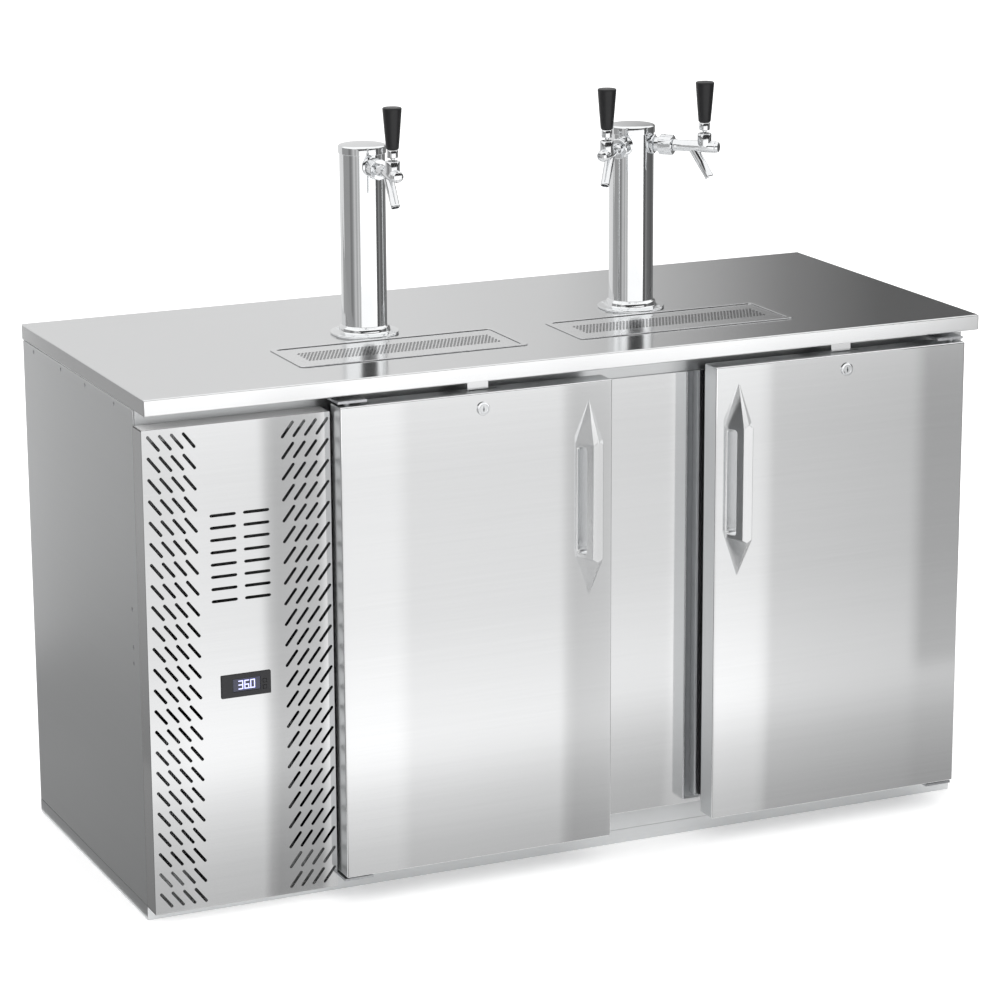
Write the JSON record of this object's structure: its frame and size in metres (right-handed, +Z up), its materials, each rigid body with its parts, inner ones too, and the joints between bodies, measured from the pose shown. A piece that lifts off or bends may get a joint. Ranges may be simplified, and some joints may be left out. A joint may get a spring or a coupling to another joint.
{
  "type": "kegerator",
  "caption": "Back-bar keg cooler with hinged doors, grille-fronted machine bay, worktop with recessed drip trays, and draft towers with lever faucets.",
  "frame": {"origin": "middle of the footprint on the floor, counting the door pulls at the front", "axes": "+X to the right end seen from the front, +Y to the back, +Z up"},
  "size_m": [1.499, 0.6912, 1.267],
  "materials": {
    "brushed_steel_skin": "fine-brushed stainless sheet",
    "worktop_steel": "brushed stainless worktop, grain along its length",
    "door_steel": "brushed stainless door skin",
    "liner_steel": "matt stainless interior lining",
    "polished_steel": "mirror-polished stainless",
    "pull_steel": "satin stainless pull",
    "zinc_hardware": "zinc-plated steel hardware",
    "gasket_rubber": "dark grey magnetic door gasket",
    "handle_black": "black moulded tap handle",
    "controller_black": "black controller housing",
    "display_lens": "lit display window",
    "machine_black": "black-painted compressor and fan shroud",
    "coil_fins": "aluminium heat-exchanger fins",
    "fan_grey": "grey fan blades"
  },
  "bodies": {
    "cabinet": {"left_side_panel": "brushed_steel_skin", "right_wall": "brushed_steel_skin", "back_wall": "brushed_steel_skin", "top_rail": "brushed_steel_skin", "bottom_rail": "brushed_steel_skin", "mullion_post": "brushed_steel_skin", "mullion_cover": "brushed_steel_skin", "grille_panel": "brushed_steel_skin", "worktop": "worktop_steel", "cabinet_base": "liner_steel", "partition_wall": "liner_steel", "ceiling_panel": "liner_steel", "evaporator_housing": "liner_steel", "display_housing": "controller_black", "cord_gland": "controller_black", "display_window": "display_lens", "compressor": "machine_black", "condenser_shroud": "machine_black", "condenser_coil": "coil_fins", "evaporator_coil": "coil_fins", "drip_tray_left": "worktop_steel", "tower_column_left": "polished_steel", "tower_cap_left": "polished_steel", "hinge_top_left": "zinc_hardware", "hinge_bottom_left": "zinc_hardware", "drip_tray_right": "worktop_steel", "tower_column_right": "polished_steel", "tower_cap_right": "polished_steel", "hinge_top_right": "zinc_hardware", "hinge_bottom_right": "zinc_hardware", "faucet_a_shank": "polished_steel", "faucet_a_body": "polished_steel", "faucet_b_shank": "polished_steel", "faucet_b_body": "polished_steel", "faucet_c_shank": "polished_steel", "faucet_c_body": "polished_steel"},
    "door_left": {"door_shell_left": "door_steel", "door_liner_left": "liner_steel", "door_gasket_left": "gasket_rubber", "door_pull_left": "pull_steel"},
    "lock_left": {"lock_cylinder_left": "polished_steel", "lock_cam_left": "zinc_hardware"},
    "grid_left": {"drip_grid_left": "worktop_steel"},
    "door_right": {"door_shell_right": "door_steel", "door_liner_right": "liner_steel", "door_gasket_right": "gasket_rubber", "door_pull_right": "pull_steel"},
    "lock_right": {"lock_cylinder_right": "polished_steel", "lock_cam_right": "zinc_hardware"},
    "grid_right": {"drip_grid_right": "worktop_steel"},
    "tap_a": {"faucet_a_lever": "polished_steel", "faucet_a_handle": "handle_black"},
    "tap_b": {"faucet_b_lever": "polished_steel", "faucet_b_handle": "handle_black"},
    "tap_c": {"faucet_c_lever": "polished_steel", "faucet_c_handle": "handle_black"},
    "key_up": {"display_key_up": "controller_black"},
    "key_down": {"display_key_down": "controller_black"},
    "condenser_rotor": {"condenser_fan": "fan_grey"},
    "evaporator_rotor": {"evaporator_fan": "fan_grey"}
  },
  "joints": [
    {"name": "door_left_swing", "type": "hinge", "parent": "cabinet", "child": "door_left", "pos_m": [-0.4145, -0.29135, 0.44], "axis": [0, 0, -1], "range_deg": [0, 110]},
    {"name": "door_right_swing", "type": "hinge", "parent": "cabinet", "child": "door_right", "pos_m": [0.6925, -0.29135, 0.44], "axis": [0, 0, 1], "range_deg": [0, 110]},
    {"name": "lock_left_turn", "type": "hinge", "parent": "door_left", "child": "lock_left", "pos_m": [-0.1865, -0.30935, 0.8065], "axis": [0, -1, 0], "range_deg": [0, 90]},
    {"name": "grid_left_lift", "type": "slide", "parent": "cabinet", "child": "grid_left", "axis": [0, 0, 1], "range_m": [0, 0.06]},
    {"name": "lock_right_turn", "type": "hinge", "parent": "door_right", "child": "lock_right", "pos_m": [0.4805, -0.30935, 0.8065], "axis": [0, -1, 0], "range_deg": [0, 90]},
    {"name": "grid_right_lift", "type": "slide", "parent": "cabinet", "child": "grid_right", "axis": [0, 0, 1], "range_m": [0, 0.06]},
    {"name": "tap_a_pull", "type": "hinge", "parent": "cabinet", "child": "tap_a", "pos_m": [-0.2515, -0.10185, 1.173], "axis": [1, 0, 0], "range_deg": [0, 25]},
    {"name": "tap_b_pull", "type": "hinge", "parent": "cabinet", "child": "tap_b", "pos_m": [0.15258, -0.06377, 1.173], "axis": [0.7071, -0.7071, 0], "range_deg": [0, 25]},
    {"name": "tap_c_pull", "type": "hinge", "parent": "cabinet", "child": "tap_c", "pos_m": [0.33642, -0.06377, 1.173], "axis": [0.7071, 0.7071, 0], "range_deg": [0, 25]},
    {"name": "key_up_press", "type": "slide", "parent": "cabinet", "child": "key_up", "axis": [0, 1, 0], "range_m": [0, 0.001], "stiffness_N_per_m": 400},
    {"name": "key_down_press", "type": "slide", "parent": "cabinet", "child": "key_down", "axis": [0, 1, 0], "range_m": [0, 0.001], "stiffness_N_per_m": 400},
    {"name": "condenser_fan_spin", "type": "hinge", "parent": "cabinet", "child": "condenser_rotor", "pos_m": [-0.5915, -0.11535, 0.164], "axis": [0, 1, 0], "continuous": true},
    {"name": "evaporator_fan_spin", "type": "hinge", "parent": "cabinet", "child": "evaporator_rotor", "pos_m": [-0.0035, -0.03135, 0.7417], "axis": [0, 1, 0], "continuous": true}
  ]
}
